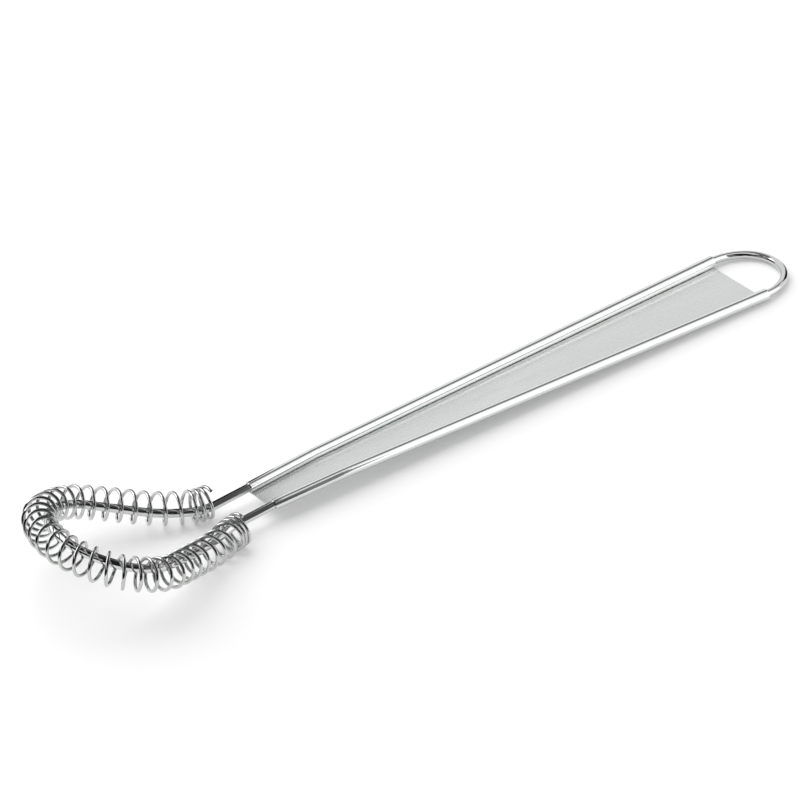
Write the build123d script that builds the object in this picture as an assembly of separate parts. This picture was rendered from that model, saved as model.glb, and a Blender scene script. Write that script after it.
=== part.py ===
# A coil whisk: a loop of wire with a loose coil threaded on it, held in the rolled edges of a sheet handle.
# Built in the handle's own frame: origin at the neck bend, +X towards the hanging loop, +Z off the sheet's
# open face. The whole whisk is then laid down on its coil and its handle end, with +X still along the handle.
import os
from math import asin, atan2, ceil, cos, degrees, pi, radians, sin, sqrt

from build123d import *

# Stock, in millimetres
wire_diameter = 2.5
coil_wire_diameter = 1.0
sheet_thickness = 0.3

# Handle: a tapered sheet with both long edges rolled up round the wires
handle_length = 155.0
neck_length = 23.7
top_half_width = 11.9
bend_half_width = 6.5
mouth_half_width = 5.5
neck_drop_angle = 2.2
top_roll_clearance = 0.3
mouth_roll_clearance = 0.05
seam_gap = 0.2

# Hanging loop: a bent wire whose legs run down inside the rolls
hang_side_radius = 16.0
hang_side_angle = 38.0
hang_leg_length = 60.0
butt_gap = 0.5

# Head loop laid flat: straight arms, a flare, straight sides, round shoulders and a blunt round tip
arm_straight = 11.0
flare_radius = 21.5
flare_angle = 22.4
side_run = 29.6
shoulder_radius = 15.5
shoulder_end_angle = 50.0

# Head loop from the side: a falling arm, one round bend upward and a straight rising tip
arm_drop_angle = 3.9
arm_fall_length = 12.0
scoop_radius = 48.5
tip_rise_angle = 20.1

# Wire bends where the straight runs meet
small_bend_length = 1.0
head_station_spacing = 6.0

# Coil threaded on the head loop, pushed outwards on it and hanging down from it towards the tip
coil_outer_diameter = 9.8
coil_seat_gap = 0.3
coil_near_inset = 13.1
coil_far_inset = 11.9
coil_side_lean = 5.0
coil_tip_lean = -37.0
coil_lean_reach_share = 0.82
coil_whole_turns = 39
coil_start_angle = 78.0
coil_end_angle = 108.0
closed_turns = 3
closed_pitch = 1.9
open_pitch_shares = [1.2, 0.85, 0.96, 0.84, 1.07]
stations_per_turn = 4
gap_samples_per_turn = 24
self_gap_share = 2 / 3
way_share = 0.001

# How far the loose coil rocks each way about the head's middle line
rock_angle = 1.5

# Sizes that follow
wire_radius = wire_diameter / 2
coil_wire_radius = coil_wire_diameter / 2
coil_bore_radius = coil_outer_diameter / 2 - coil_wire_diameter
coil_turn_radius = coil_outer_diameter / 2 - coil_wire_radius
coil_shift = coil_bore_radius - wire_radius - coil_seat_gap
top_roll_radius = wire_radius + top_roll_clearance + sheet_thickness
mouth_roll_radius = wire_radius + mouth_roll_clearance + sheet_thickness
flare_turn = radians(flare_angle)
shoulder_end_turn = radians(shoulder_end_angle)
quarter_turn = pi / 2
full_turn = 2 * pi
straight_angle = 0.001
roll_arc_shares = [0, 1 / 3, 2 / 3, 1]

# Places on the handle's centre plane
top_place = Vector(handle_length, 0, 0)
bend_place = Vector(0, 0, 0)
mouth_place = Vector(
    -neck_length * cos(radians(neck_drop_angle)), 0, -neck_length * sin(radians(neck_drop_angle))
)


# Round wire and tube

def tangent_arcs(start, start_way, end, end_way):
    """Two arcs that leave start along start_way and reach end along end_way, or a line where both agree."""
    span = end - start
    if start_way.get_angle(span) < straight_angle and end_way.get_angle(span) < straight_angle:
        return [Edge.make_line(start, end)]
    ways = start_way + end_way
    along = span.dot(ways)
    spread = 2 - 2 * start_way.dot(end_way)
    squared = span.dot(span)
    reach = squared / (along + sqrt(along * along + spread * squared))
    middle = (start + end + (start_way - end_way) * reach) / 2
    middle_way = (end - end_way * reach - start - start_way * reach).normalized()
    return [
        Edge.make_tangent_arc(start, start_way, middle),
        Edge.make_tangent_arc(middle, middle_way, end),
    ]


def round_tube(stations, radius):
    """A solid round wire along stations, each a point and the way that the wire runs there."""
    edges = []
    for (start, start_way), (end, end_way) in zip(stations, stations[1:]):
        edges += tangent_arcs(start, start_way, end, end_way)
    path = Wire(edges)
    first_point, first_way = stations[0]
    section = Plane(origin=first_point, z_dir=first_way) * Circle(radius)
    return sweep(section, path=path).solid()


def mirrored(vector):
    """The same vector on the near side of the whisk."""
    return Vector(vector.X, -vector.Y, vector.Z)


def both_sides(far_half):
    """Stations of the whole wire, from stations of its far half that end on the centre plane."""
    near_half = [(mirrored(point), mirrored(way)) for point, way in far_half]
    return near_half + [(point, way * -1) for point, way in reversed(far_half[:-1])]


# Head loop

def head_stretches(offset):
    """Length and turn of each stretch of half the flat loop, moved outwards by offset."""
    shoulder_turn = flare_turn + shoulder_end_turn
    tip_turn = quarter_turn - shoulder_end_turn
    return [
        (arm_straight, 0),
        ((flare_radius - offset) * flare_turn, flare_turn),
        (side_run, 0),
        ((shoulder_radius + offset) * shoulder_turn, -shoulder_turn),
        ((tip_radius + offset) * tip_turn, -tip_turn),
    ]


def shoulder_end_half_width():
    """Half the loop's width where a shoulder hands over to the tip."""
    flare_gain = flare_radius * (1 - cos(flare_turn))
    side_gain = side_run * sin(flare_turn)
    shoulder_gain = shoulder_radius * (cos(shoulder_end_turn) - cos(flare_turn))
    return mouth_half_width + flare_gain + side_gain + shoulder_gain


# The tip's arc is centred on the whisk's centre plane
tip_radius = shoulder_end_half_width() / cos(shoulder_end_turn)


def half_length(offset):
    """Length of half the loop, moved outwards by offset."""
    return sum(length for length, turn in head_stretches(offset))


def flat_place(distance, offset):
    """Run from the mouth, half width and heading at a distance along half the flat loop."""
    run, half_width, heading = 0, mouth_half_width + offset, 0
    for length, turn in head_stretches(offset):
        part = min(distance, length)
        if turn:
            radius = length / turn
            new_heading = heading + turn * part / length
            run += radius * (sin(new_heading) - sin(heading))
            half_width += radius * (cos(heading) - cos(new_heading))
            heading = new_heading
        else:
            run += part * cos(heading)
            half_width += part * sin(heading)
        distance -= part
        if distance <= 0:
            break
    return run, half_width, heading


def side_place(run):
    """Point and slope of the side profile at a run from the mouth: falling arm, round scoop, rising tip."""
    drop, rise = radians(arm_drop_angle), radians(tip_rise_angle)
    fall = min(run, arm_fall_length)
    bend = min(max(run - arm_fall_length, 0), scoop_radius * (drop + rise))
    climb = run - fall - bend
    slope = bend / scoop_radius - drop
    forward = fall * cos(drop) + scoop_radius * (sin(slope) + sin(drop)) + climb * cos(rise)
    height = -fall * sin(drop) + scoop_radius * (cos(drop) - cos(slope)) + climb * sin(rise)
    return mouth_place + Vector(-forward, 0, height), slope


def head_place(distance, offset):
    """Point, way, outward and upward directions at a distance from the near mouth round to the far one."""
    half = half_length(offset)
    far = distance > half
    run, half_width, heading = flat_place(2 * half - distance if far else distance, offset)
    centre, slope = side_place(run)
    forward = Vector(-cos(slope), 0, sin(slope))
    upward = Vector(sin(slope), 0, cos(slope))
    sideways = Vector(0, 1 if far else -1, 0)
    way = forward * cos(heading) + sideways * sin(heading)
    outward = sideways * cos(heading) - forward * sin(heading)
    return centre + sideways * half_width, way * (-1 if far else 1), outward, upward


def far_half_of_loop():
    """Stations of the loop wire's far half, from its end inside the roll to the tip."""
    leg_end = handle_length - hang_leg_length - butt_gap
    bend = bend_place + Vector(0, bend_half_width, 0)
    mouth = mouth_place + Vector(0, mouth_half_width, 0)
    main_way = (bend - top_place - Vector(0, top_half_width, 0)).normalized()
    neck_way = (mouth - bend).normalized()
    stations = [
        (bend - main_way * (leg_end / abs(main_way.X)), main_way),
        (bend - main_way * small_bend_length, main_way),
        (bend + neck_way * small_bend_length, neck_way),
        (mouth - neck_way * small_bend_length, neck_way),
    ]
    whole = 2 * half_length(0)
    count = ceil(half_length(0) / head_station_spacing)
    for step in range(count + 1):
        inset = small_bend_length + (half_length(0) - small_bend_length) * step / count
        point, way, outward, upward = head_place(whole - inset, 0)
        stations.append((point, way * -1))
    return stations


def loop_wire():
    """The wire that carries the coil, with both arms run up inside the rolls."""
    return round_tube(both_sides(far_half_of_loop()), wire_radius)


# Hanging loop

def hang_loop():
    """The bent wire at the handle's end: two legs, two wide side arcs and a round top."""
    leg_way = (Vector(handle_length, top_half_width, 0) - Vector(0, bend_half_width, 0)).normalized()
    shoulder = top_place + Vector(0, top_half_width, 0)
    leg_angle = atan2(leg_way.Y, leg_way.X)
    side_angle = radians(hang_side_angle)
    side_end = shoulder + Vector(
        hang_side_radius * (sin(leg_angle) + sin(side_angle)),
        hang_side_radius * (cos(side_angle) - cos(leg_angle)),
        0,
    )
    top_radius = side_end.Y / cos(side_angle)
    crown = side_end + Vector(top_radius * (1 - sin(side_angle)), -side_end.Y, 0)
    far_half = [
        (shoulder - leg_way * (hang_leg_length / leg_way.X), leg_way),
        (shoulder, leg_way),
        (side_end, Vector(cos(side_angle), -sin(side_angle), 0)),
        (crown, Vector(0, -1, 0)),
    ]
    return round_tube(both_sides(far_half), wire_radius)


# Coil

def coil_length():
    """Length of the coil's centre line, from its near end round to its far end."""
    return 2 * half_length(coil_shift) - coil_near_inset - coil_far_inset


def coil_turns():
    """Turns from the near cut end to the far one."""
    return coil_whole_turns + (coil_end_angle - coil_start_angle) / degrees(full_turn)


def open_advance_share(turn_share):
    """Share of the open length passed after a share of the open turns, with a pitch that drifts evenly."""
    spans = len(open_pitch_shares) - 1
    passed, whole = 0, 0
    for index, (first, last) in enumerate(zip(open_pitch_shares, open_pitch_shares[1:])):
        part = min(max(turn_share * spans - index, 0), 1)
        passed += first * part + (last - first) * part * part / 2
        whole += (first + last) / 2
    return passed / whole


def coil_advance(turns):
    """Distance along the centre line after a number of turns: closed ends, open between them."""
    open_turns = coil_turns() - 2 * closed_turns
    open_length = coil_length() - 2 * closed_turns * closed_pitch
    first = min(turns, closed_turns)
    middle = min(max(turns - closed_turns, 0), open_turns)
    last = turns - first - middle
    return (first + last) * closed_pitch + open_advance_share(middle / open_turns) * open_length


def coil_place(distance):
    """Middle of the coil, and its outward and upward directions, at a distance from the near mouth."""
    unleaned, way, outward, upward = head_place(distance, coil_shift)
    half = half_length(coil_shift)
    reach = (half - coil_near_inset) * coil_lean_reach_share
    from_tip_share = min(abs(half - distance) / reach, 1)
    tip_share = cos(quarter_turn * from_tip_share) ** 2
    lean = radians(coil_side_lean + (coil_tip_lean - coil_side_lean) * tip_share)
    leaned = outward * (cos(lean) - 1) + upward * sin(lean)
    return unleaned + leaned * coil_shift, outward, upward


def coil_point(turns):
    """Point on the coil wire's centre after a number of turns."""
    centre, outward, upward = coil_place(coil_near_inset + coil_advance(turns))
    angle = radians(coil_start_angle) + full_turn * turns
    return centre + (outward * cos(angle) + upward * sin(angle)) * coil_turn_radius


def coil_way(turns):
    """Way that the coil wire runs after a number of turns."""
    before = max(turns - way_share, 0)
    after = min(turns + way_share, coil_turns())
    return (coil_point(after) - coil_point(before)).normalized()


def coil_samples(per_turn):
    """Evenly spaced counts of turns from one end of the coil to the other."""
    steps = ceil(coil_turns() * per_turn)
    return [coil_turns() * step / steps for step in range(steps + 1)]


def coil_spring():
    """One unbroken coil of round wire, closed at both ends."""
    stations = [(coil_point(turns), coil_way(turns)) for turns in coil_samples(stations_per_turn)]
    return round_tube(stations, coil_wire_radius)


def coil_gap():
    """Least gap between the coil and itself, measured on points at least self_gap_share of a turn apart."""
    points = [coil_point(turns) for turns in coil_samples(gap_samples_per_turn)]
    skip = ceil(gap_samples_per_turn * self_gap_share)
    near = (
        (first - second).length
        for index, first in enumerate(points)
        for second in points[index + skip:]
    )
    return min(near) - coil_wire_diameter


# Handle sheet

def rolled_edge(plane, side, half_width, roll_radius):
    """Outer and inner arcs of one rolled edge, both from the web to the seam, on the side given as 1 or -1."""
    bore = roll_radius - sheet_thickness
    sweep_angle = quarter_turn + pi + asin((bore - seam_gap) / roll_radius)

    def spot(radius, share):
        angle = sweep_angle * share - quarter_turn
        return plane.from_local_coords(
            Vector(side * (half_width + radius * cos(angle)), radius * sin(angle), 0)
        )

    def arcs(radius):
        return [
            Edge.make_three_point_arc(spot(radius, first), spot(radius, (first + last) / 2), spot(radius, last))
            for first, last in zip(roll_arc_shares, roll_arc_shares[1:])
        ]

    seam_edge = Edge.make_line(spot(roll_radius, 1), spot(bore, 1))
    return arcs(roll_radius) + [seam_edge] + arcs(bore), spot(roll_radius, 0), spot(bore, 0)


def sheet_section(place, way, half_width, roll_radius):
    """Cut face of the sheet, square to way: a flat web between two rolled edges."""
    plane = Plane(origin=place, x_dir=(0, 1, 0), z_dir=way)
    far_edges, far_under, far_top = rolled_edge(plane, 1, half_width, roll_radius)
    near_edges, near_under, near_top = rolled_edge(plane, -1, half_width, roll_radius)
    web = [Edge.make_line(far_under, near_under), Edge.make_line(far_top, near_top)]
    return Face(Wire(far_edges + near_edges + web))


def with_true_planes(solid):
    """The same solid, with each face that lies in a plane made as a plane."""
    faces = [Face(face.outer_wire()) if face.is_planar else face for face in solid.faces()]
    return Solid(Shell(faces))


def handle_sheet():
    """The tapered sheet: straight from the hanging loop to the neck bend, then tilted down to the mouth."""
    main_way = Vector(1, 0, 0)
    neck_way = (bend_place - mouth_place).normalized()
    sections = [
        sheet_section(top_place, main_way, top_half_width, top_roll_radius),
        sheet_section(bend_place, main_way, bend_half_width, mouth_roll_radius),
        sheet_section(mouth_place, neck_way, mouth_half_width, mouth_roll_radius),
    ]
    return with_true_planes(loft(sections, ruled=True).solid())


# Laying the whisk down

def lie_angle():
    """Tilt that brings the coil's lowest turn and the sheet's end down onto one level surface."""
    tilts = []
    for turns in coil_samples(gap_samples_per_turn):
        point = coil_point(turns)
        lift = -top_roll_radius - (point.Z - coil_wire_radius)
        tilts.append(degrees(atan2(lift, handle_length - point.X)))
    return max(tilts)


def rock_axis():
    """Point and direction of the line that the coil rocks about: from the arms up to the tip."""
    arm_end = coil_place(coil_near_inset)[0]
    tip = coil_place(half_length(coil_shift))[0]
    start = Vector(arm_end.X, 0, arm_end.Z)
    return start, (start - tip).normalized()


def rocked_gap(angle):
    """Least gap between the wire and the coil rocked by an angle, measured on points."""
    start, axis_way = rock_axis()
    line = Axis((0, 0, 0), axis_way)
    gaps = []
    for turns in coil_samples(gap_samples_per_turn):
        unleaned, way, outward, upward = head_place(coil_near_inset + coil_advance(turns), coil_shift)
        rocked = start + (coil_point(turns) - start).rotate(line, angle)
        away = rocked - (unleaned - outward * coil_shift)
        across = away - way * away.dot(way)
        gaps.append(across.length - wire_radius - coil_wire_radius)
    return min(gaps)


parts = {
    "handle_sheet": handle_sheet(),
    "loop_wire": loop_wire(),
    "hang_loop": hang_loop(),
    "coil_spring": coil_spring(),
}
tilt = Rot(Y=lie_angle())
laid = {name: tilt * solid for name, solid in parts.items()}
box = Compound(list(laid.values())).bounding_box()
rest = Pos(-box.center().X, -box.center().Y, -box.min.Z)

os.makedirs("parts", exist_ok=True)
for name, solid in laid.items():
    placed = rest * solid
    placed.label = name
    export_step(placed, os.path.join("parts", name + ".step"))

print("whole size", box.size)
print("lie angle", lie_angle())
print("coil least gap to itself", coil_gap())
print("coil turns", coil_turns(), "coil length", coil_length())
axis_start, axis_way = rock_axis()
placed_start = (rest * tilt * Pos(axis_start)).position
placed_way = (tilt * Pos(axis_way)).position
print("rock axis through", placed_start, "along", placed_way)
print("gap to the wire at rest and rocked each way", [rocked_gap(turn) for turn in (0, rock_angle, -rock_angle)])
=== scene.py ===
"""A stainless coil whisk on a white table: a satin sheet handle, polished wires and a bright spring coil."""
import math

import bpy
import numpy as np
from mathutils import Matrix, Vector


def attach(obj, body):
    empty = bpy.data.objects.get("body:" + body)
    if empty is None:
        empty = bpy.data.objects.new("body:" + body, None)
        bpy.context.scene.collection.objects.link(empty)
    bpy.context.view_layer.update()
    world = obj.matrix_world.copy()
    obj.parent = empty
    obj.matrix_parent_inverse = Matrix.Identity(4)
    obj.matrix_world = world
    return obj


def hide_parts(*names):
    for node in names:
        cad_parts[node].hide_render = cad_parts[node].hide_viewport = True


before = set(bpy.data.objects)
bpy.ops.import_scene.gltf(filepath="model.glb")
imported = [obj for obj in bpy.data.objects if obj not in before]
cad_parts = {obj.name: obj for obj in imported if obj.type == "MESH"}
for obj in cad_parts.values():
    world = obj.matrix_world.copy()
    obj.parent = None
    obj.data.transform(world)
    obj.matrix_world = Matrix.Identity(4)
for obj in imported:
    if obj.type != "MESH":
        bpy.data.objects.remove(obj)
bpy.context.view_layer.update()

MM = 0.001

# Sizes in millimetres, the same as the part's own
WIRE_RADIUS = 1.25
SPRING_WIRE_RADIUS = 0.5
SHEET_THICKNESS = 0.3
HANDLE_LENGTH = 155.0
NECK_LENGTH = 23.7
TOP_HALF_WIDTH = 11.9
BEND_HALF_WIDTH = 6.5
MOUTH_HALF_WIDTH = 5.5
NECK_DROP = math.radians(2.2)
TOP_BORE = WIRE_RADIUS + 0.3
MOUTH_BORE = WIRE_RADIUS + 0.05
SEAM_GAP = 0.2
HANG_SIDE_RADIUS = 16.0
HANG_SIDE_ANGLE = math.radians(38.0)
HANG_LEG_LENGTH = 60.0
BUTT_GAP = 0.5
ARM_STRAIGHT = 11.0
FLARE_RADIUS = 21.5
FLARE = math.radians(22.4)
SIDE_RUN = 29.6
SHOULDER_RADIUS = 15.5
SHOULDER_END = math.radians(50.0)
ARM_DROP = math.radians(3.9)
ARM_FALL = 12.0
SCOOP_RADIUS = 48.5
TIP_RISE = math.radians(20.1)
SPRING_OUTER_RADIUS = 4.9
SPRING_SEAT_GAP = 0.3
SPRING_NEAR_INSET = 13.1
SPRING_FAR_INSET = 11.9
SPRING_SIDE_LEAN = math.radians(5.0)
SPRING_TIP_LEAN = math.radians(-37.0)
SPRING_LEAN_REACH = 0.82
SPRING_START = math.radians(78.0)
SPRING_TURNS = 39 + 30 / 360
CLOSED_TURNS = 3
CLOSED_PITCH = 1.9
OPEN_PITCH_SHARES = (1.2, 0.85, 0.96, 0.84, 1.07)
CHAMFER_SHARE = 0.12
SHARP_ANGLE = math.radians(35)

# How finely the pieces are divided
WIRE_SIDES = 28
ARM_STEPS = 40
NECK_STEPS = 12
HEAD_STEPS = 150
HANG_LEG_STEPS = 24
HANG_ARC_STEPS = 39
SPRING_SIDES = 14
SPRING_STEPS_PER_TURN = 32
PITCH_STEPS = 800
HANDLE_STEPS = 60
ROLL_STEPS = 48
WEB_STEPS = 24

# What those sizes give
SPRING_TURN_RADIUS = SPRING_OUTER_RADIUS - SPRING_WIRE_RADIUS
SPRING_SHIFT = SPRING_OUTER_RADIUS - 2 * SPRING_WIRE_RADIUS - WIRE_RADIUS - SPRING_SEAT_GAP
TIP_RADIUS = (
    MOUTH_HALF_WIDTH
    + FLARE_RADIUS * (1 - math.cos(FLARE))
    + SIDE_RUN * math.sin(FLARE)
    + SHOULDER_RADIUS * (math.cos(SHOULDER_END) - math.cos(FLARE))
) / math.cos(SHOULDER_END)
SHOULDER = np.array((HANDLE_LENGTH, TOP_HALF_WIDTH, 0))
BEND = np.array((0, BEND_HALF_WIDTH, 0))
MOUTH = np.array((-NECK_LENGTH * math.cos(NECK_DROP), 0, -NECK_LENGTH * math.sin(NECK_DROP)))

# How the whisk lies: tilted about +Y, then moved so that its box stands centred on the table
LIE = math.radians(1.386044)
PLACE = np.array((-36.758015, 0.037448, 5.604774))
LAID = np.array((
    (math.cos(LIE), 0, math.sin(LIE)),
    (0, 1, 0),
    (-math.sin(LIE), 0, math.cos(LIE)),
))


# Shapes

def laid_down(points):
    """Points of the whisk's own frame, in millimetres, turned and moved into the table's frame, in metres."""
    return (points @ LAID.T + PLACE) * MM


def unit(vectors):
    """Each vector divided by its length."""
    return vectors / np.linalg.norm(vectors, axis=-1, keepdims=True)


def head_stretches(offset):
    """Length and turn of each stretch of half the flat head loop: arc length is radius times turn, and
    moving the line outwards by offset shortens the flare's radius and lengthens the others."""
    return [
        (ARM_STRAIGHT, 0.0),
        ((FLARE_RADIUS - offset) * FLARE, FLARE),
        (SIDE_RUN, 0.0),
        ((SHOULDER_RADIUS + offset) * (FLARE + SHOULDER_END), -FLARE - SHOULDER_END),
        ((TIP_RADIUS + offset) * (math.pi / 2 - SHOULDER_END), SHOULDER_END - math.pi / 2),
    ]


def half_length(offset):
    """Length of half the head loop, moved outwards by offset."""
    return sum(length for length, turn in head_stretches(offset))


def head_line(distances, offset):
    """Points, outward and upward directions along the head loop, from the near mouth to the far one.

    On the flat loop each straight adds length times the cosine and sine of its heading, and each arc adds
    its radius times the differences of sines and cosines. The run from the mouth is then bent onto the side
    profile: a falling line, one arc upwards and a rising line."""
    half = half_length(offset)
    far = distances > half
    left = np.where(far, 2 * half - distances, distances)
    run = np.zeros_like(left)
    width = np.full_like(left, MOUTH_HALF_WIDTH + offset)
    heading = np.zeros_like(left)
    for length, turn in head_stretches(offset):
        part = np.clip(left, 0, length)
        if turn:
            radius = length / turn
            ahead = heading + part / radius
            run += radius * (np.sin(ahead) - np.sin(heading))
            width += radius * (np.cos(heading) - np.cos(ahead))
            heading = ahead
        else:
            run += part * np.cos(heading)
            width += part * np.sin(heading)
        left = left - part
    fall = np.minimum(run, ARM_FALL)
    bend = np.clip(run - ARM_FALL, 0, SCOOP_RADIUS * (ARM_DROP + TIP_RISE))
    climb = run - fall - bend
    slope = bend / SCOOP_RADIUS - ARM_DROP
    ahead = (
        fall * math.cos(ARM_DROP)
        + SCOOP_RADIUS * (np.sin(slope) + math.sin(ARM_DROP))
        + climb * math.cos(TIP_RISE))
    height = (
        -fall * math.sin(ARM_DROP)
        + SCOOP_RADIUS * (math.cos(ARM_DROP) - np.cos(slope))
        + climb * math.sin(TIP_RISE))
    side = np.where(far, 1.0, -1.0)
    zero = np.zeros_like(run)
    forward = np.stack((-np.cos(slope), zero, np.sin(slope)), -1)
    upward = np.stack((np.sin(slope), zero, np.cos(slope)), -1)
    sideways = np.stack((zero, side, zero), -1)
    outward = sideways * np.cos(heading)[:, None] - forward * np.sin(heading)[:, None]
    return MOUTH + np.stack((-ahead, side * width, height), -1), outward, upward


def tube(name, points, sides, radius, corners):
    """A round wire: at each point a ring of so many corners, radius times (cosine * side + sine * (way x
    side)), where the way is the unit difference of the point's neighbours. Both cut ends have a small
    chamfer and a closed face."""
    ways = unit(np.gradient(points, axis=0))
    cut = CHAMFER_SHARE * radius
    first_rim = points[:1] + ways[:1] * cut
    last_rim = points[-1:] - ways[-1:] * cut
    points = np.concatenate((points[:1], first_rim, points[1:-1], last_rim, points[-1:]))
    ways = np.concatenate((ways[:1], ways, ways[-1:]))
    sides = np.concatenate((sides[:1], sides, sides[-1:]))
    radii = np.full(len(points), radius)
    radii[[0, -1]] = radius - cut
    sides = unit(sides - ways * np.sum(sides * ways, -1, keepdims=True))
    across = np.cross(ways, sides)
    angles = np.linspace(0, 2 * math.pi, corners, endpoint=False)[:, None]
    circle = sides[:, None] * np.cos(angles) + across[:, None] * np.sin(angles)
    grid = points[:, None] + circle * radii[:, None, None]
    vertices = np.concatenate((grid.reshape(-1, 3), points[:1], points[-1:]))
    column = np.arange(corners)
    ahead = (column + 1) % corners
    row = np.arange(len(points) - 1)[:, None] * corners
    next_row = row + corners
    skin = np.stack((row + column, row + ahead, next_row + ahead, next_row + column), -1).reshape(-1, 4)
    last = (len(points) - 1) * corners
    middle = last + corners
    first_end = np.stack((ahead, column, np.full(corners, middle)), -1)
    last_end = np.stack((last + column, last + ahead, np.full(corners, middle + 1)), -1)
    return mesh_piece(name, vertices, (skin, first_end, last_end))


def mesh_piece(name, vertices, face_groups):
    """An object of the laid-down whisk from vertices in millimetres and arrays of faces, shaded smooth."""
    faces = [face for group in face_groups for face in group.tolist()]
    mesh = bpy.data.meshes.new(name)
    mesh.from_pydata(laid_down(vertices).tolist(), [], faces)
    mesh.shade_smooth()
    mesh.set_sharp_from_angle(angle=SHARP_ANGLE)
    piece = bpy.data.objects.new(name, mesh)
    bpy.context.scene.collection.objects.link(piece)
    return piece


def flat_wire(name, far_half):
    """A thick wire from its far half, which ends on the middle plane: the near half is its mirror image."""
    points = np.concatenate((far_half * (1, -1, 1), far_half[-2::-1]))
    upward = np.broadcast_to((0.0, 0.0, 1.0), points.shape)
    return tube(name, points, upward, WIRE_RADIUS, WIRE_SIDES)


def straight(start, end, steps):
    """Evenly spaced points on a line, without its end."""
    share = np.arange(steps)[:, None] / steps
    return start + (end - start) * share


def head_wire():
    """The head loop: arms run down inside the rolls on two lines, then round the loop's lines and arcs."""
    arm_top = BEND + (SHOULDER - BEND) * ((HANDLE_LENGTH - HANG_LEG_LENGTH - BUTT_GAP) / HANDLE_LENGTH)
    whole = 2 * half_length(0)
    loop = head_line(np.linspace(whole, whole / 2, HEAD_STEPS + 1)[1:], 0)[0]
    far_mouth = MOUTH + (0, MOUTH_HALF_WIDTH, 0)
    return flat_wire("head_wire", np.concatenate((
        straight(arm_top, BEND, ARM_STEPS),
        straight(BEND, far_mouth, NECK_STEPS),
        far_mouth[None],
        loop,
    )))


def hanging_wire():
    """The hanging loop: legs inside the rolls, two wide side arcs, and a round top that meets them smoothly.
    An arc's points are its radius times the differences of the sines and cosines of its heading."""
    leg = unit(SHOULDER - BEND)
    leg_angle = math.atan2(leg[1], leg[0])
    turn = np.linspace(leg_angle, -HANG_SIDE_ANGLE, HANG_ARC_STEPS + 1)
    side = SHOULDER + HANG_SIDE_RADIUS * np.stack((
        math.sin(leg_angle) - np.sin(turn), np.cos(turn) - math.cos(leg_angle), 0 * turn), -1)
    top_radius = side[-1][1] / math.cos(HANG_SIDE_ANGLE)
    turn = np.linspace(HANG_SIDE_ANGLE, math.pi / 2, HANG_ARC_STEPS + 1)
    middle_x = side[-1][0] - top_radius * math.sin(HANG_SIDE_ANGLE)
    top = np.stack((middle_x + top_radius * np.sin(turn), top_radius * np.cos(turn), 0 * turn), -1)
    leg_end = SHOULDER - leg * (HANG_LEG_LENGTH / leg[0])
    far_leg = straight(leg_end, SHOULDER, HANG_LEG_STEPS)
    return flat_wire("hanging_wire", np.concatenate((far_leg, side, top[1:])))


def spring_wire():
    """The spring coil: at each count of turns, the coil's middle plus the turn radius times
    (cosine * outward + sine * upward).

    The coil has three close turns at each end. Between them the pitch drifts evenly from one share to the
    next, so the length passed is the share's running sum. The middle stays one shift away from the wire:
    outwards along the sides, and leaned downwards by an angle that grows with a squared cosine to the tip."""
    turns = np.linspace(0, SPRING_TURNS, 1 + int(SPRING_TURNS * SPRING_STEPS_PER_TURN))
    half = half_length(SPRING_SHIFT)
    length = 2 * half - SPRING_NEAR_INSET - SPRING_FAR_INSET
    open_turns = SPRING_TURNS - 2 * CLOSED_TURNS
    opened = np.clip(turns - CLOSED_TURNS, 0, open_turns)
    knots = np.linspace(0, 1, PITCH_STEPS + 1)
    pitch = np.interp(knots, np.linspace(0, 1, len(OPEN_PITCH_SHARES)), OPEN_PITCH_SHARES)
    passed = np.concatenate(((0,), np.cumsum(pitch[1:] + pitch[:-1])))
    open_advance = np.interp(opened / open_turns, knots, passed / passed[-1])
    advance = (turns - opened) * CLOSED_PITCH + open_advance * (length - 2 * CLOSED_TURNS * CLOSED_PITCH)
    distance = SPRING_NEAR_INSET + advance
    unleaned, outward, upward = head_line(distance, SPRING_SHIFT)
    from_tip = np.minimum(np.abs(half - distance) / ((half - SPRING_NEAR_INSET) * SPRING_LEAN_REACH), 1)
    tip_share = np.cos(math.pi / 2 * from_tip) ** 2
    lean = (SPRING_SIDE_LEAN + (SPRING_TIP_LEAN - SPRING_SIDE_LEAN) * tip_share)[:, None]
    middle_line = unleaned + SPRING_SHIFT * (outward * (np.cos(lean) - 1) + upward * np.sin(lean))
    angles = (SPRING_START + 2 * math.pi * turns)[:, None]
    radial = outward * np.cos(angles) + upward * np.sin(angles)
    points = middle_line + radial * SPRING_TURN_RADIUS
    return tube("spring_wire", points, radial, SPRING_WIRE_RADIUS, SPRING_SIDES)


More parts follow.
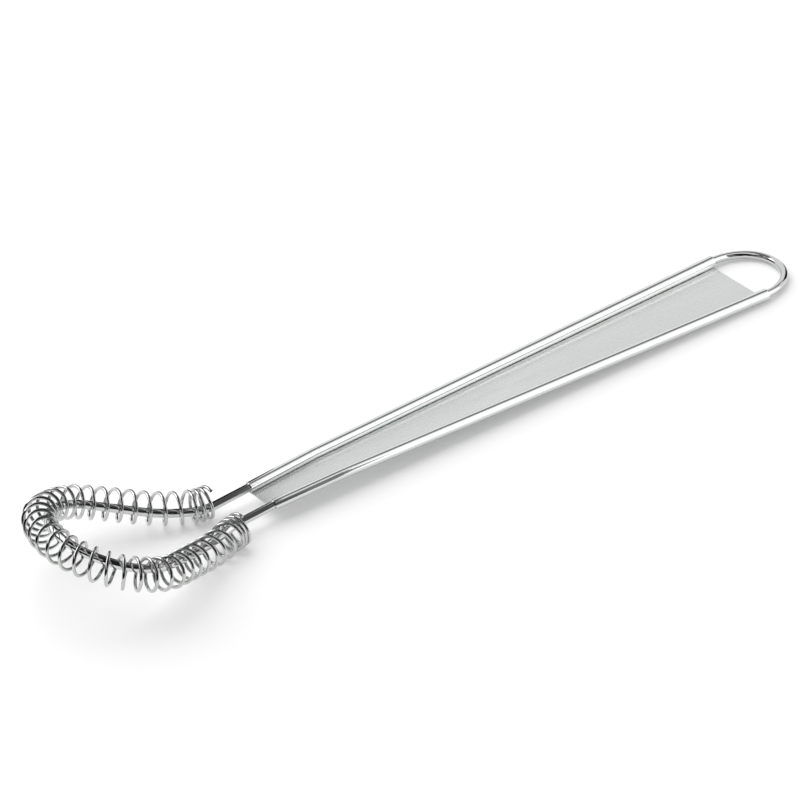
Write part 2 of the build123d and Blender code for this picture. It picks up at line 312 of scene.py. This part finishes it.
def handle_sheet():
    """The tapered sheet as one closed skin: the outer line runs round the near roll from its seam to the
    web, along the web and round the far roll, the inner line runs back one thickness inside it, and both
    are carried from the hanging loop to the neck bend and down to the mouth."""
    along = np.concatenate((
        np.linspace(HANDLE_LENGTH, 0, HANDLE_STEPS + 1),
        np.linspace(0, -NECK_LENGTH, NECK_STEPS + 1)[1:],
    ))
    share = np.clip(along / HANDLE_LENGTH, 0, 1)
    neck = np.clip(-along / NECK_LENGTH, 0, 1)
    half = (
        BEND_HALF_WIDTH
        + (TOP_HALF_WIDTH - BEND_HALF_WIDTH) * share
        - (BEND_HALF_WIDTH - MOUTH_HALF_WIDTH) * neck)
    bore = MOUTH_BORE + (TOP_BORE - MOUTH_BORE) * share
    tilt = np.where(along < 0, NECK_DROP, 0.0)[:, None]
    outer = bore + SHEET_THICKNESS
    reach = 1.5 * math.pi + np.arcsin((bore - SEAM_GAP) / outer)
    swept = np.linspace(0, 1, ROLL_STEPS + 1)
    angles = reach[:, None] * swept - math.pi / 2
    flat = np.linspace(-1, 1, WEB_STEPS + 1)[1:-1]

    def line(radius):
        """Across and up of one line of the profile at each station, near seam to far seam."""
        far_across = half[:, None] + radius[:, None] * np.cos(angles)
        rise = radius[:, None] * np.sin(angles)
        web_across = half[:, None] * flat
        web_rise = np.broadcast_to(-radius[:, None], web_across.shape)
        across = np.concatenate((-far_across[:, ::-1], web_across, far_across), 1)
        up = np.concatenate((rise[:, ::-1], web_rise, rise), 1)
        return across, up

    def placed(across, up):
        """Points of a line, each station's cut face square to the way that the handle runs there."""
        return np.stack((
            along[:, None] * np.cos(tilt) - up * np.sin(tilt),
            across,
            along[:, None] * np.sin(tilt) + up * np.cos(tilt),
        ), -1)

    under = placed(*line(outer))
    over = placed(*line(bore))
    ring = np.concatenate((under, over[:, ::-1]), 1)
    count = ring.shape[1]
    column = np.arange(count)
    ahead = (column + 1) % count
    row = np.arange(len(along) - 1)[:, None] * count
    next_row = row + count
    skin = np.stack((row + column, next_row + column, next_row + ahead, row + ahead), -1).reshape(-1, 4)
    edge = np.arange(under.shape[1] - 1)
    mate = count - 1 - edge
    first = np.stack((edge, edge + 1, mate - 1, mate), -1)
    last = first[:, ::-1] + (len(along) - 1) * count
    piece = mesh_piece("satin_sheet", ring.reshape(-1, 3), (skin, first, last))
    # 1 on the rolls and 0 on the web, for the material
    rolled = np.concatenate((np.ones(ROLL_STEPS), np.zeros(WEB_STEPS + 1), np.ones(ROLL_STEPS)))
    polish = piece.data.attributes.new("polish", "FLOAT", "POINT")
    polish.data.foreach_set("value", np.tile(np.concatenate((rolled, rolled)), len(along)))
    return piece


# Materials, with the real sizes of their marks in millimetres

SMUDGE_SIZE = 6.0
HAIRLINE_LENGTH = 40.0
# Real hairlines lie closer: these are drawn coarse enough for the render to show them
HAIRLINE_SPACING = 0.3
HAIRLINE_DEPTH = 0.05

# Nearly all of a noise lies between these
NOISE_LOW = 0.3
NOISE_HIGH = 0.7

SMUDGE_ROUGHNESS = 0.04
BRUSHED_ROUGHNESS = (0.24, 0.33)
BURNISHED_ROUGHNESS = (0.07, 0.11)


def linear(hex_colour):
    """Linear RGBA of an sRGB hex colour: a channel c becomes ((c + 0.055) / 1.055) ** 2.4, or c / 12.92
    where it is dark."""
    channels = [int(hex_colour[i:i + 2], 16) / 255 for i in (1, 3, 5)]
    return [c / 12.92 if c <= 0.04045 else ((c + 0.055) / 1.055) ** 2.4 for c in channels] + [1.0]


def cleared_tree(owner):
    """The emptied node tree of a material or world."""
    owner.use_nodes = True
    owner.node_tree.nodes.clear()
    return owner.node_tree


def add_node(tree, kind, inputs=None, **settings):
    """A node of a tree with its settings. Each input, by name or number, takes a value or an output."""
    node = tree.nodes.new(kind)
    for key, value in settings.items():
        setattr(node, key, value)
    for key, value in (inputs or {}).items():
        if isinstance(value, bpy.types.NodeSocket):
            tree.links.new(value, node.inputs[key])
        else:
            node.inputs[key].default_value = value
    return node


def polished_stainless(name, tone, roughness):
    """Drawn and polished stainless wire: nearly a mirror, with faint smudges that soften it in patches."""
    material = bpy.data.materials.new(name)
    tree = cleared_tree(material)
    place = add_node(tree, "ShaderNodeTexCoord").outputs["Object"]
    smudges = add_node(
        tree, "ShaderNodeTexNoise",
        {"Vector": place, "Scale": 1 / (SMUDGE_SIZE * MM), "Detail": 3.0}).outputs["Fac"]
    dulled = add_node(
        tree, "ShaderNodeMapRange",
        {"Value": smudges, "From Min": NOISE_LOW, "From Max": NOISE_HIGH,
         "To Min": roughness, "To Max": roughness + SMUDGE_ROUGHNESS})
    tint = add_node(
        tree, "ShaderNodeMix", {"Factor": smudges, 6: linear(tone), 7: linear("#D4D5D4")},
        data_type="RGBA")
    shader = add_node(
        tree, "ShaderNodeBsdfPrincipled",
        {"Metallic": 1.0, "Base Color": tint.outputs[2], "Roughness": dulled.outputs[0]})
    add_node(tree, "ShaderNodeOutputMaterial", {"Surface": shader.outputs[0]})
    return material


def satin_stainless():
    """Cold-rolled stainless sheet: brushed satin on the flat web, and burnished smooth on the two rolls,
    where the rolling tool rubbed it. The piece's polish attribute tells them apart."""
    material = bpy.data.materials.new("satin_stainless_sheet")
    tree = cleared_tree(material)
    place = add_node(tree, "ShaderNodeTexCoord").outputs["Object"]
    hairline_sizes = (HAIRLINE_LENGTH, HAIRLINE_SPACING, HAIRLINE_SPACING)
    stretched = add_node(
        tree, "ShaderNodeMapping", {"Vector": place, "Scale": [1 / (size * MM) for size in hairline_sizes]})
    hairlines = add_node(
        tree, "ShaderNodeTexNoise",
        {"Vector": stretched.outputs[0], "Scale": 1.0, "Detail": 4.0}).outputs["Fac"]
    brushed = add_node(
        tree, "ShaderNodeMapRange",
        {"Value": hairlines, "From Min": NOISE_LOW, "From Max": NOISE_HIGH,
         "To Min": BRUSHED_ROUGHNESS[0], "To Max": BRUSHED_ROUGHNESS[1]})
    burnished = add_node(
        tree, "ShaderNodeMapRange",
        {"Value": hairlines, "From Min": NOISE_LOW, "From Max": NOISE_HIGH,
         "To Min": BURNISHED_ROUGHNESS[0], "To Max": BURNISHED_ROUGHNESS[1]})
    polish = add_node(tree, "ShaderNodeAttribute", attribute_name="polish").outputs["Fac"]
    roughness = add_node(
        tree, "ShaderNodeMix", {"Factor": polish, 2: brushed.outputs[0], 3: burnished.outputs[0]},
        data_type="FLOAT")
    tint = add_node(
        tree, "ShaderNodeMix", {"Factor": hairlines, 6: linear("#D6D8D7"), 7: linear("#E0E2E1")},
        data_type="RGBA")
    scratches = add_node(
        tree, "ShaderNodeBump", {"Height": hairlines, "Strength": 0.06, "Distance": HAIRLINE_DEPTH * MM})
    shader = add_node(
        tree, "ShaderNodeBsdfPrincipled",
        {"Metallic": 1.0, "Base Color": tint.outputs[2], "Roughness": roughness.outputs[0],
         "Normal": scratches.outputs[0], "Anisotropic": 0.3})
    add_node(tree, "ShaderNodeOutputMaterial", {"Surface": shader.outputs[0]})
    return material


def dress(piece, body, node, material):
    """Gives a piece its material and its body, and hides the CAD node that it stands for."""
    piece.data.materials.append(material)
    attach(piece, body)
    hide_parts(node)


wire_steel = polished_stainless("polished_wire_stainless", tone="#C9CACA", roughness=0.04)
spring_steel = polished_stainless("bright_spring_stainless", tone="#B8B9B9", roughness=0.05)
dress(handle_sheet(), "frame", "handle_sheet", satin_stainless())
dress(head_wire(), "frame", "loop_wire", wire_steel)
dress(hanging_wire(), "frame", "hang_loop", wire_steel)
dress(spring_wire(), "coil", "coil_spring", spring_steel)


# Table, light and camera, in metres

TABLE_REACH = 6.0
TABLE_GLOW = 0.16
ROOM_LIGHT = 0.5
ROOM_IN_STEEL = 1.0
KEY_PLACE = (-0.3, 1.7, 2.3)
KEY_SIZE = 4.4
KEY_POWER = 96.0
# The camera's place in the whisk's own millimetres, and the way that it looks there
CAMERA_PLACE = np.array((-716.3, -912.4, 784.2))
CAMERA_TURN = math.radians(39.13)
CAMERA_DIP = math.radians(33.34)
CAMERA_LENS = 225.5
CAMERA_SENSOR = 36.0
CAMERA_REACH = (0.05, 30.0)
# Where the cards stand that the steel mirrors: before and behind the whisk, over it, and beside its head
FRONT = -0.35
FRONT_HEIGHT = 0.75
FRONT_RIGHT = 0.9
FRONT_LEAN = 0.27
CARD_GAP = 0.005
BACK = 0.3
OVERHEAD = 0.6
HEAD_TOP = 0.15
HEAD_LEFT = -0.25
HEAD_RIGHT = -0.03
LOOP_SIDE = 0.6


def flat_piece(name, corners, material):
    """A flat piece of the set, which isn't a part of the whisk."""
    mesh = bpy.data.meshes.new(name)
    mesh.from_pydata(corners, [], [range(len(corners))])
    mesh.materials.append(material)
    piece = bpy.data.objects.new(name, mesh)
    bpy.context.scene.collection.objects.link(piece)
    return piece


def table_top():
    """A pale table: matt white that takes the whisk's shadow, with just enough glow to show as white."""
    material = bpy.data.materials.new("matt_white_table")
    tree = cleared_tree(material)
    matt = add_node(tree, "ShaderNodeBsdfDiffuse", {"Color": linear("#F0F0F0")})
    path = add_node(tree, "ShaderNodeLightPath").outputs
    seen = add_node(
        tree, "ShaderNodeMath", {0: path["Is Camera Ray"], 1: path["Is Glossy Ray"]}, operation="MAXIMUM")
    lift = add_node(tree, "ShaderNodeMath", {0: seen.outputs[0], 1: TABLE_GLOW}, operation="MULTIPLY")
    glow = add_node(tree, "ShaderNodeEmission", {"Strength": lift.outputs[0]})
    both = add_node(tree, "ShaderNodeAddShader", {0: matt.outputs[0], 1: glow.outputs[0]})
    add_node(tree, "ShaderNodeOutputMaterial", {"Surface": both.outputs[0]})
    signs = ((-1, -1), (1, -1), (1, 1), (-1, 1))
    flat_piece("table", [(x * TABLE_REACH, y * TABLE_REACH, 0) for x, y in signs], material)


def studio():
    """A white room: it shows as white to the camera and in the steel, and gives an even, softer light."""
    world = bpy.data.worlds.new("white_studio")
    bpy.context.scene.world = world
    tree = cleared_tree(world)
    path = add_node(tree, "ShaderNodeLightPath").outputs
    in_steel = add_node(
        tree, "ShaderNodeMix", {"Factor": path["Is Glossy Ray"], 2: ROOM_LIGHT, 3: ROOM_IN_STEEL},
        data_type="FLOAT")
    seen = add_node(
        tree, "ShaderNodeMix", {"Factor": path["Is Camera Ray"], 2: in_steel.outputs[0], 3: 1.0},
        data_type="FLOAT")
    light = add_node(tree, "ShaderNodeBackground", {"Color": (1, 1, 1, 1), "Strength": seen.outputs[0]})
    add_node(tree, "ShaderNodeOutputWorld", {"Surface": light.outputs[0]})


def panel(name, level, corners):
    """A flat card that only reflections show, white or black by its level."""
    material = bpy.data.materials.new(name)
    tree = cleared_tree(material)
    glow = add_node(tree, "ShaderNodeEmission", {"Strength": level})
    add_node(tree, "ShaderNodeOutputMaterial", {"Surface": glow.outputs[0]})
    card = flat_piece(name, corners, material)
    card.visible_camera = False
    card.visible_diffuse = False
    card.visible_transmission = False
    card.visible_shadow = False


def front_panel(name, level, left, lean, behind):
    """A card upright before the whisk, whose left edge leans to the right by lean at its top."""
    outline = ((left, 0), (FRONT_RIGHT, 0), (FRONT_RIGHT, FRONT_HEIGHT), (left + lean, FRONT_HEIGHT))
    panel(name, level, [(x, FRONT - behind, z) for x, z in outline])


def key_lamp():
    """A wide soft lamp high behind the whisk, which draws its soft shadow towards the camera."""
    light = bpy.data.lights.new("key_softbox", "AREA")
    light.size = KEY_SIZE
    light.energy = KEY_POWER
    lamp = bpy.data.objects.new("key_softbox", light)
    bpy.context.scene.collection.objects.link(lamp)
    lamp.location = KEY_PLACE
    lamp.rotation_mode = "QUATERNION"
    lamp.rotation_quaternion = (-Vector(KEY_PLACE)).to_track_quat("-Z", "Y")
    lamp.visible_glossy = False


def add_camera():
    """The photograph's view: a long lens from the near left, looking a third of the way down."""
    right = np.array((math.cos(CAMERA_TURN), -math.sin(CAMERA_TURN), 0))
    level_way = np.array((math.sin(CAMERA_TURN), math.cos(CAMERA_TURN), 0))
    back = -level_way * math.cos(CAMERA_DIP) + np.array((0, 0, math.sin(CAMERA_DIP)))
    data = bpy.data.cameras.new("camera")
    data.sensor_width = CAMERA_SENSOR
    data.lens = CAMERA_LENS
    data.clip_start, data.clip_end = CAMERA_REACH
    camera = bpy.data.objects.new("camera", data)
    bpy.context.scene.collection.objects.link(camera)
    camera.location = laid_down(CAMERA_PLACE)
    camera.rotation_mode = "QUATERNION"
    turned = LAID @ np.stack((right, np.cross(back, right), back), 1)
    camera.rotation_quaternion = Matrix(turned.tolist()).to_quaternion()
    bpy.context.scene.camera = camera


table_top()
studio()
key_lamp()
add_camera()

# White bands along the rolls, edged by a grey strip that shows in the arms and the neck
front_panel("front_panel", level=1.9, left=0.12, lean=FRONT_LEAN, behind=0.0)
front_panel("front_grey_card", level=0.22, left=0.0, lean=FRONT_LEAN, behind=CARD_GAP)
# The dark lines along the tops of the rolls
panel("overhead_strip", level=0.2, corners=[
    (x, y, OVERHEAD) for x, y in ((-0.4, 0), (0.9, 0), (0.9, 0.39), (-0.4, 0.39))])
# The black sides of the head wire
front_panel("front_black_card", level=0.02, left=-0.7, lean=0.0, behind=2 * CARD_GAP)
panel("top_card", level=0.02, corners=[
    (x, y, HEAD_TOP) for x, y in ((-0.25, -0.12), (-0.06, -0.12), (-0.06, 0.1), (-0.25, 0.1))])
# The dark sides of the coil's turns
panel("left_card", level=0.0, corners=[
    (HEAD_LEFT, y, z) for y, z in ((-0.12, 0), (0.2, 0), (0.2, 0.1), (-0.12, 0.1))])
panel("right_card", level=0.0, corners=[
    (HEAD_RIGHT, y, z) for y, z in ((0.045, 0), (0.2, 0), (0.2, 0.12), (0.045, 0.12))])
panel("middle_card", level=0.1, corners=[
    (HEAD_RIGHT, y, z) for y, z in (
        (-0.12, 0.02), (-0.047, 0.02), (-0.047, 0.065), (0.03, 0.065), (0.03, 0.2), (-0.12, 0.2))])
# The dark outer side of the hanging loop's near bend
panel("side_card", level=0.0, corners=[
    (LOOP_SIDE, y, z) for y, z in ((0, 0.04), (0.3, 0.04), (0.3, 0.32), (0, 0.32))])
# The white glints on the turns
panel("back_left_panel", level=3.0, corners=[
    (x, BACK, z) for x, z in ((-0.6, 0.12), (-0.1, 0.12), (-0.1, 0.5), (-0.6, 0.5))])

bpy.context.scene.view_settings.view_transform = "Standard"
